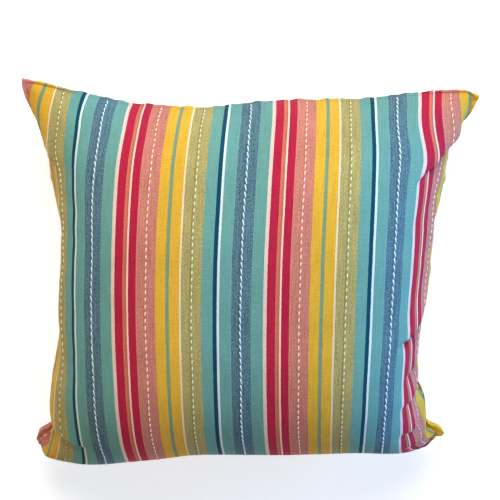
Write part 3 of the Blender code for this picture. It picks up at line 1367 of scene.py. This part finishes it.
@dataclass
class Cover:
    """The filled cover: both panels as one closed mesh, sewn along their rim."""

    form: CoverForm
    stripes: Stripes
    face_folds: Folds
    filling: Filling
    seam: Seam
    box: tuple[Grid, Grid]
    steps: int = 216
    face_wrinkle: float = 0.35
    side_wrinkle: float = 0.85
    wrinkle_power: int = 4
    back_phase: float = 2.0
    sharp_angle: float = 70.0
    map_margin: float = 0.005
    surfaces: dict[Panel, Surface] = field(default_factory=dict)

    def __post_init__(self) -> None:
        """Lay out the grid."""
        self.grid = SewnGrid(self.steps)

    def shape(self) -> None:
        """Work out both panels' points: the form with its folds, seams and wrinkles.

        The laps slide the cloth over the form, the seams and laps raise it along
        its normal, the nudges push it, and the filling's wrinkles are added.
        """
        across = self.grid.across
        along = self.grid.along
        plain = self.form.face_points(across, along)
        back_plain = self.form.back_points(plain)
        middle = (plain.reshape(-1, 3).min(0) + plain.reshape(-1, 3).max(0)) / 2
        target = (self.box[0] + self.box[1]) / 2
        shift = np.array([target[0] - middle[0], target[1] - middle[1], 0.0])

        slide_x, slide_y, height = self.face_folds.overlaps(across, along)
        height += self.seam.height(across, along, self.form.half, 0.0)
        slid_across = np.clip(across + slide_x, -1, 1)
        slid_along = np.clip(along + slide_y, -1, 1)
        slid = self.form.face_points(slid_across, slid_along)
        nudged = self.stripes.nudges.move(across, along)
        face = slid + grid_normals(plain) * height[..., None] + nudged
        height = self.seam.height(across, along, self.form.half, self.back_phase)
        back = back_plain - grid_normals(back_plain) * height[..., None] + nudged

        face_move, back_move = self.filling.wrinkles(self.form)
        sideness = np.abs(across) ** self.wrinkle_power
        share = self.face_wrinkle + (self.side_wrinkle - self.face_wrinkle) * sideness
        face += refine(face_move, self.steps) * share[..., None]
        back += refine(back_move, self.steps) * self.side_wrinkle
        back[self.grid.rim] = face[self.grid.rim]
        for panel, points, way in ((Panel.FACE, face, 1), (Panel.BACK, back, -1)):
            points += shift
            points[..., 2] = np.maximum(points[..., 2], 0)
            normals = way * grid_normals(points)
            self.surfaces[panel] = Surface(self.grid.places, self.grid.places, points, normals)

    def build(self) -> bpy.types.Object:
        """Make the closed mesh with its maps.

        The map named cloth holds metres of flat cloth. The other lays the two panels side by side.

        Returns:
            The cover's object.
        """
        grid = self.grid
        points = grid.join(self.surfaces[Panel.FACE].points, self.surfaces[Panel.BACK].points)
        piece = new_mesh("striped_cover", points, grid.faces())
        corners = grid.corners()
        across = grid.across.ravel()[corners]
        along = grid.along.ravel()[corners]
        half = self.form.half
        self.set_map(piece, "cloth", self.stripes.place(across, along, half), (along + 1) * half)
        half_sheet = np.arange(len(corners)) // (len(corners) // 2) * 0.5
        sheet_u = self.map_margin + (across + 1) / 2 * (0.5 - 2 * self.map_margin) + half_sheet
        sheet_v = self.map_margin + (along + 1) / 2 * (1 - 2 * self.map_margin)
        self.set_map(piece, "OFBake", sheet_u, sheet_v)
        piece.data.set_sharp_from_angle(angle=np.radians(self.sharp_angle))
        return piece

    def set_map(self, piece: bpy.types.Object, name: str, u: Grid, v: Grid) -> None:
        """Give the mesh a map, one value to each corner of its faces."""
        layer = piece.data.uv_layers.new(name=name)
        layer.uv.foreach_set("vector", np.stack([u, v], axis=-1).astype(np.float32).ravel())


class Stitch(NamedTuple):
    """One kind of stitch, in metres.

    slant is how far its upper end lies to the right of its lower one, and
    thick_end how much thicker the upper end is, as a share.
    """

    pitch: float
    length: float
    radius: float
    lift: float
    slant: float = 0.0
    thick_end: float = 0.0


@dataclass
class Stitching:
    """One kind of sewing as joined tubes that lie on the cover.

    A tube has sides round each ring and is flatter than wide. arch_share is how
    much of a half wave its arch takes up, dive how deep its ends go into the cloth
    as a share of its lift, and end_width the share of its width left at its ends.
    A row strays from its line by unevenness, as a sine of the way along it.
    """

    name: str
    thread: Thread
    stitch: Stitch
    stripes: Stripes
    half: float
    sides: int = 5
    rings: int = 7
    flatness: float = 0.8
    last_across: float = 0.985
    arch_share: float = 0.98
    dive: float = 0.6
    end_width: float = 0.35
    unevenness: float = 0.00025
    uneven_turn: float = 917.0
    points: list[Grid] = field(default_factory=list)
    faces: list[Grid] = field(default_factory=list)
    caps: list[Grid] = field(default_factory=list)
    maps: list[Grid] = field(default_factory=list)
    count: int = 0

    def tubes(self, surface: Surface, across: Grid, along: Grid, lift: Grid, radius: Grid) -> None:
        """Add tubes round lines on the cloth, one line a row.

        Each ring is an ellipse round its line's point, a little flatter than wide.

        Args:
            surface: The panel to sew on.
            across: Places across of each line's points.
            along: Places along of each line's points.
            lift: Height of the points over the cloth.
            radius: Half width of the thread at the points.
        """
        centres, normals = surface.read(across, along)
        centres = centres + normals * lift[..., None]
        forward = unit(np.gradient(centres, axis=1))
        aside = unit(np.cross(normals, forward))
        up = np.cross(forward, aside)
        turn = np.linspace(0, 2 * np.pi, self.sides, endpoint=False)[:, None]
        ring = aside[:, :, None] * np.cos(turn) + self.flatness * up[:, :, None] * np.sin(turn)
        points = centres[:, :, None] + ring * radius[:, :, None, None]
        points[..., 2] = np.maximum(points[..., 2], 0)
        lines, rings = across.shape
        index = self.count + np.arange(lines * rings * self.sides).reshape(lines, rings, self.sides)
        after = np.roll(index, -1, axis=2)
        cells = [index[:, :-1], after[:, :-1], after[:, 1:], index[:, 1:]]
        self.faces.append(np.stack(cells, axis=-1).reshape(-1, 4))
        self.caps.append(np.concatenate([index[:, 0, ::-1], index[:, -1]]))
        self.points.append(points.reshape(-1, 3))
        steps = np.linalg.norm(np.diff(centres, axis=1), axis=-1)
        length = np.concatenate([np.zeros((lines, 1)), np.cumsum(steps, axis=1)], axis=1)
        around = np.broadcast_to(np.arange(self.sides) / self.sides, index.shape)
        run = np.broadcast_to(length[..., None], index.shape)
        self.maps.append(np.stack([around, run], axis=-1).reshape(-1, 2))
        self.count += index.size

    def arcs(self, middles: Grid) -> tuple[Grid, Grid, Grid]:
        """Way, lift and radius of stitches that rise out of the cloth and dive in.

        The arch is the root of a cosine over the stitch's length, and the radius
        grows along the stitch by the share given as thick_end.

        Args:
            middles: Metres to the middle of each stitch.

        Returns:
            Metres along the row, lift and radius, one stitch a row.
        """
        way = np.linspace(-0.5, 0.5, self.rings)
        run = middles[:, None] + way * self.stitch.length
        arch = np.sqrt(np.cos(way * np.pi * self.arch_share))
        lift = self.stitch.lift * ((1 + self.dive) * arch - self.dive)
        fullness = self.end_width + (1 - self.end_width) * arch
        radius = self.stitch.radius * fullness * (1 + 2 * self.stitch.thick_end * way)
        return run, np.broadcast_to(lift, run.shape), np.broadcast_to(radius, run.shape)

    def running(self, surface: Surface, place: float, start: float = 0.0) -> None:
        """A row of running stitches along a line of the stripes.

        Args:
            surface: The panel to sew on.
            place: Metres of stripes at the row.
            start: How far the first stitch is moved along, in metres.
        """
        margin = self.stitch.pitch
        middles = np.arange(margin + start, 2 * self.half - margin / 2, self.stitch.pitch)
        run, lift, radius = self.arcs(middles)
        along = run / self.half - 1
        uneven = self.unevenness * np.sin(middles * self.uneven_turn)[:, None]
        aside = uneven + self.stitch.slant * (run - middles[:, None]) / self.stitch.length
        across = self.stripes.across_of(place, along, self.half) + aside / self.half
        here = np.abs(across).max(axis=1) < self.last_across
        self.tubes(surface, across[here], along[here], lift[here], radius[here])

    def hem(self, surface: Surface, depth: float) -> None:
        """A row of machine stitches beside the top edge.

        Args:
            surface: The panel to sew on.
            depth: How far the row lies from the edge.
        """
        margin = 2 * self.stitch.pitch
        middles = np.arange(margin, 2 * self.half - margin, self.stitch.pitch)
        run, lift, radius = self.arcs(middles)
        along = np.full_like(run, 1 - depth / self.half)
        self.tubes(surface, run / self.half - 1, along, lift, radius)

    def build(self) -> bpy.types.Object:
        """Join all tubes into one piece.

        Returns:
            The sewing's object.
        """
        faces = np.concatenate(self.faces)
        caps = np.concatenate(self.caps)
        piece = new_mesh(self.name, np.concatenate(self.points), faces, caps)
        corners = np.concatenate([faces.ravel(), caps.ravel()])
        layer = piece.data.uv_layers.new(name="thread")
        values = np.concatenate(self.maps)[corners]
        layer.uv.foreach_set("vector", values.astype(np.float32).ravel())
        piece.data.materials.append(self.thread.make())
        return piece


class StitchRow(NamedTuple):
    """One kind of running stitch: its thread, and the line of the stripes it follows.

    The line lies beyond metres to the right of the band's start, and the first
    stitch is moved along by start metres.
    """

    name: str
    thread: Thread
    stitch: Stitch
    band: str
    beyond: float
    start: float = 0.0


STITCH_PITCH = 0.0064

STITCH_ROWS = (
    StitchRow(
        name="salmon_stitches",
        thread=Thread("rosy_white_thread", (250, 214, 196)),
        stitch=Stitch(STITCH_PITCH, length=0.0042, radius=0.00072, lift=0.0003, slant=0.0005),
        band="salmon painted shade beside the stitches",
        beyond=0.00195,
    ),
    StitchRow(
        name="olive_stitches",
        thread=Thread("pale_yellow_thread", (238, 234, 184)),
        stitch=Stitch(STITCH_PITCH, length=0.0038, radius=0.00064, lift=0.0003, slant=0.0003),
        band="olive painted shade beside the stitches",
        beyond=0.0025,
    ),
    # painted shade: a dim straw thread laid in the gaps between the olive stitches, for the shade
    # where the thread dives into the cloth
    StitchRow(
        name="olive_gap_shade_stitches",
        thread=Thread("straw_gap_shade_thread", (158, 148, 106)),
        stitch=Stitch(STITCH_PITCH, length=0.0030, radius=0.00045, lift=0.0002),
        band="olive painted shade beside the stitches",
        beyond=0.0025,
        start=STITCH_PITCH / 2,
    ),
    StitchRow(
        name="denim_stitches",
        thread=Thread("pale_blue_thread", (222, 240, 248)),
        stitch=Stitch(STITCH_PITCH, length=0.0063, radius=0.00066, lift=0.0003, slant=-0.0014,
                      thick_end=0.50),
        band="denim painted shade beside the thread",
        beyond=0.0024,
    ),
)

HEM_THREAD = Thread("taupe_thread", (118, 110, 98))
HEM_STITCH = Stitch(pitch=0.0030, length=0.0022, radius=0.00022, lift=0.0001)
HEM_RINGS = 5


class Lamp(NamedTuple):
    """A soft light: where it stands, its size, and how bright it makes white cloth."""

    name: str
    place: tuple[float, float, float]
    width: float
    height: float
    red: float
    green: float
    blue: float


@dataclass
class Studio:
    """Pale light table, soft lights and the camera at the photograph's angle."""

    aim: tuple[float, float, float] = (0.003, 0.041, 0.156)
    distance: float = 1.70
    tilt: float = 9.0
    turn: float = 2.0
    frame_width: float = 0.46
    sensor_width: float = 36.0
    floor_size: float = 8.0
    floor_height: float = -0.0004
    lamp_target: tuple[float, float, float] = (0.0, 0.0, 0.08)
    sky: float = 0.20
    lamps: tuple[Lamp, ...] = (
        Lamp("key", (0.0, 0.80, 1.00), 0.9, 0.6, 1.16, 1.11, 1.02),
        Lamp("cool_side", (2.1, 0.1, 0.55), 1.6, 0.9, 0.24, 0.66, 1.30),
        Lamp("warm_side", (-1.9, -0.3, 0.9), 1.4, 1.0, 0.07, 0.04, 0.01),
        Lamp("warm_front", (-0.8, -1.5, 0.35), 1.2, 0.5, 0.14, 0.07, 0.02),
    )

    def camera(self) -> None:
        """Camera over the cushion, tilted to its top edge and turned to its right."""
        tilt, turn = np.radians([self.tilt, self.turn])
        sideways = np.sin(turn) * np.cos(tilt)
        back = unit(np.array([sideways, np.sin(tilt), np.cos(tilt) * np.cos(turn)]))
        data = bpy.data.cameras.new("camera")
        data.sensor_width = self.sensor_width
        data.lens = self.sensor_width * self.distance / self.frame_width
        eye = bpy.data.objects.new("camera", data)
        self.stand(eye, np.array(self.aim) + back * self.distance, back, np.array([0.0, 1.0, 0.0]))
        bpy.context.scene.camera = eye

    def stand(self, thing: bpy.types.Object, place: Grid, back: Grid, upward: Grid) -> None:
        """Put a camera or light at a place, its back to one direction, and upright.

        Args:
            thing: The camera or light.
            place: Where it stands.
            back: Unit vector against which it looks.
            upward: Direction that its top leans to.
        """
        right = unit(np.cross(upward, back))
        matrix = np.eye(4)
        matrix[:3, :3] = np.stack([right, np.cross(back, right), back], axis=1)
        matrix[:3, 3] = place
        thing.matrix_world = matrix.T.tolist()
        bpy.context.scene.collection.objects.link(thing)

    def light(self, lamp: Lamp) -> None:
        """Add a soft light. Its power is brightness * (pi * distance)^2.

        Args:
            lamp: The light.
        """
        away = np.array(lamp.place) - np.array(self.lamp_target)
        distance = np.linalg.norm(away)
        colour = np.array([lamp.red, lamp.green, lamp.blue])
        data = bpy.data.lights.new(lamp.name, "AREA")
        data.shape = "RECTANGLE"
        data.size = lamp.width
        data.size_y = lamp.height
        data.energy = colour.max() * (np.pi * distance) ** 2
        data.color = colour / colour.max()
        light = bpy.data.objects.new(lamp.name, data)
        self.stand(light, np.array(lamp.place), away / distance, np.array([0.0, 0.0, 1.0]))

    def floor(self) -> None:
        """The floor, just under what the cushion rests on."""
        half = self.floor_size / 2
        corners = np.array([[-half, -half], [half, -half], [half, half], [-half, half]])
        points = np.column_stack([corners, np.full(4, self.floor_height)])
        floor = new_mesh("floor", points, np.array([[0, 1, 2, 3]]))
        floor.data.materials.append(PaleFloor().make())

    def build(self) -> None:
        """Set up floor, lights, sky and camera."""
        self.floor()
        for lamp in self.lamps:
            self.light(lamp)
        world = bpy.data.worlds.new("sky")
        world.use_nodes = True
        background = world.node_tree.nodes["Background"]
        background.inputs["Color"].default_value = (1.0, 1.0, 1.0, 1.0)
        background.inputs["Strength"].default_value = self.sky
        bpy.context.scene.world = world
        bpy.context.scene.view_settings.view_transform = "Standard"
        self.camera()


def sew(cover: Cover) -> list[Stitching]:
    """All the sewing that shows on the cover.

    Args:
        cover: The shaped cover.

    Returns:
        One Stitching for each kind of thread.
    """
    half = cover.form.half
    stripes = cover.stripes
    sewing = []
    for row in STITCH_ROWS:
        kind = Stitching(row.name, row.thread, row.stitch, stripes, half)
        for surface in cover.surfaces.values():
            for place in stripes.lines(row.band, row.beyond, half):
                kind.running(surface, place, row.start)
        sewing.append(kind)
    hem = Stitching("hem_stitches", HEM_THREAD, HEM_STITCH, stripes, half, rings=HEM_RINGS)
    for surface in cover.surfaces.values():
        hem.hem(surface, cover.seam.hem_depth)
    return [*sewing, hem]


def main() -> None:
    """Build the cushion, its sewing, the floor, the lights and the camera."""
    logging.basicConfig(level=logging.INFO, format="%(message)s")
    form = CoverForm()
    stripes = Stripes()
    box = tuple(np.array(corner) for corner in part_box("cushion"))
    cover = Cover(form, stripes, Folds(FACE_LAPS, form.half), Filling(), Seam(), box)
    cover.shape()
    piece = cover.build()
    piece.data.materials.append(StripedCotton(stripes).make())
    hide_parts("cushion")
    LOG.info("cover: %d faces", len(piece.data.polygons))

    pieces = [piece]
    for sewing in sew(cover):
        pieces.append(sewing.build())
        LOG.info("%s: %d faces", sewing.name, len(pieces[-1].data.polygons))
    for made in pieces:
        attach(made, "root")
    Studio().build()


if __name__ == "__main__":
    main()
